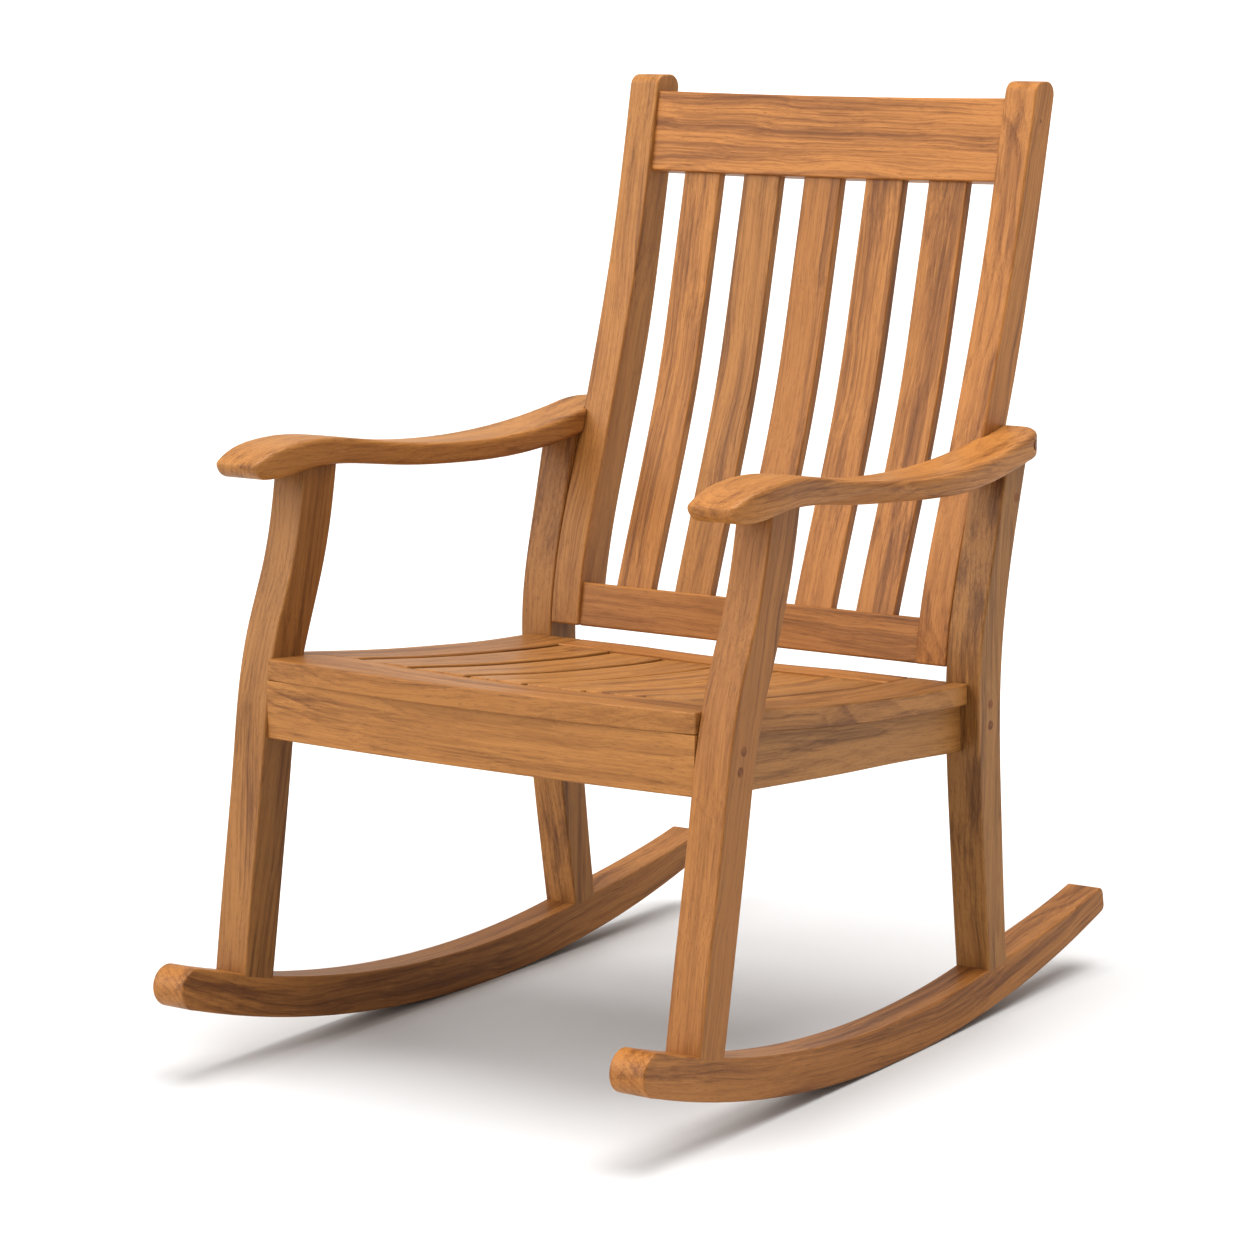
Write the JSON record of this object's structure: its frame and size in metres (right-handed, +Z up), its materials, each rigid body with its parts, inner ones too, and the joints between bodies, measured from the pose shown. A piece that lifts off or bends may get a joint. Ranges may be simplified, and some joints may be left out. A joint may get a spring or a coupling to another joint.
{
  "type": "rocking chair",
  "caption": "Slatted teak rocking armchair with curved rockers, a dished slatted seat, sculpted arms and a tall raked back of vertical slats between two posts.",
  "frame": {"origin": "middle of the chair's overall box, on the floor under the rockers", "axes": "+Z up, -Y is the way the sitter faces, +X to the right as seen from in front"},
  "size_m": [0.72, 0.9423, 1.0457],
  "materials": {
    "teak": "oiled satin teak",
    "teak_plug": "sanded teak end grain",
    "teak_inside": "planed unoiled teak",
    "screw_steel": "stainless screw"
  },
  "bodies": {
    "root": {"rocker_left": "teak", "rocker_right": "teak", "front_leg_left": "teak", "front_leg_right": "teak", "rear_leg_left": "teak", "rear_leg_right": "teak", "back_post_left": "teak", "back_post_right": "teak", "arm_left": "teak", "arm_right": "teak", "side_apron_left": "teak", "side_apron_right": "teak", "seat_side_board_left": "teak", "seat_side_board_right": "teak", "corner_block_front_left": "teak_inside", "corner_block_front_right": "teak_inside", "corner_block_rear_left": "teak_inside", "corner_block_rear_right": "teak_inside", "top_rail": "teak", "bottom_rail": "teak", "back_slat_1": "teak", "back_slat_2": "teak", "back_slat_3": "teak", "back_slat_4": "teak", "back_slat_5": "teak", "seat_front_board": "teak", "seat_rear_board": "teak", "seat_slat_1": "teak", "seat_slat_2": "teak", "seat_slat_3": "teak", "seat_slat_4": "teak", "seat_slat_5": "teak", "seat_slat_6": "teak", "front_apron": "teak", "rear_apron": "teak", "seat_batten_front": "teak_inside", "seat_batten_rear": "teak_inside", "wood_plugs": "teak_plug", "joint_pins": "teak_plug", "rocker_dowels": "teak_inside", "arm_dowels": "teak_inside", "side_screws": "screw_steel", "seat_screws": "screw_steel"}
  },
  "joints": []
}
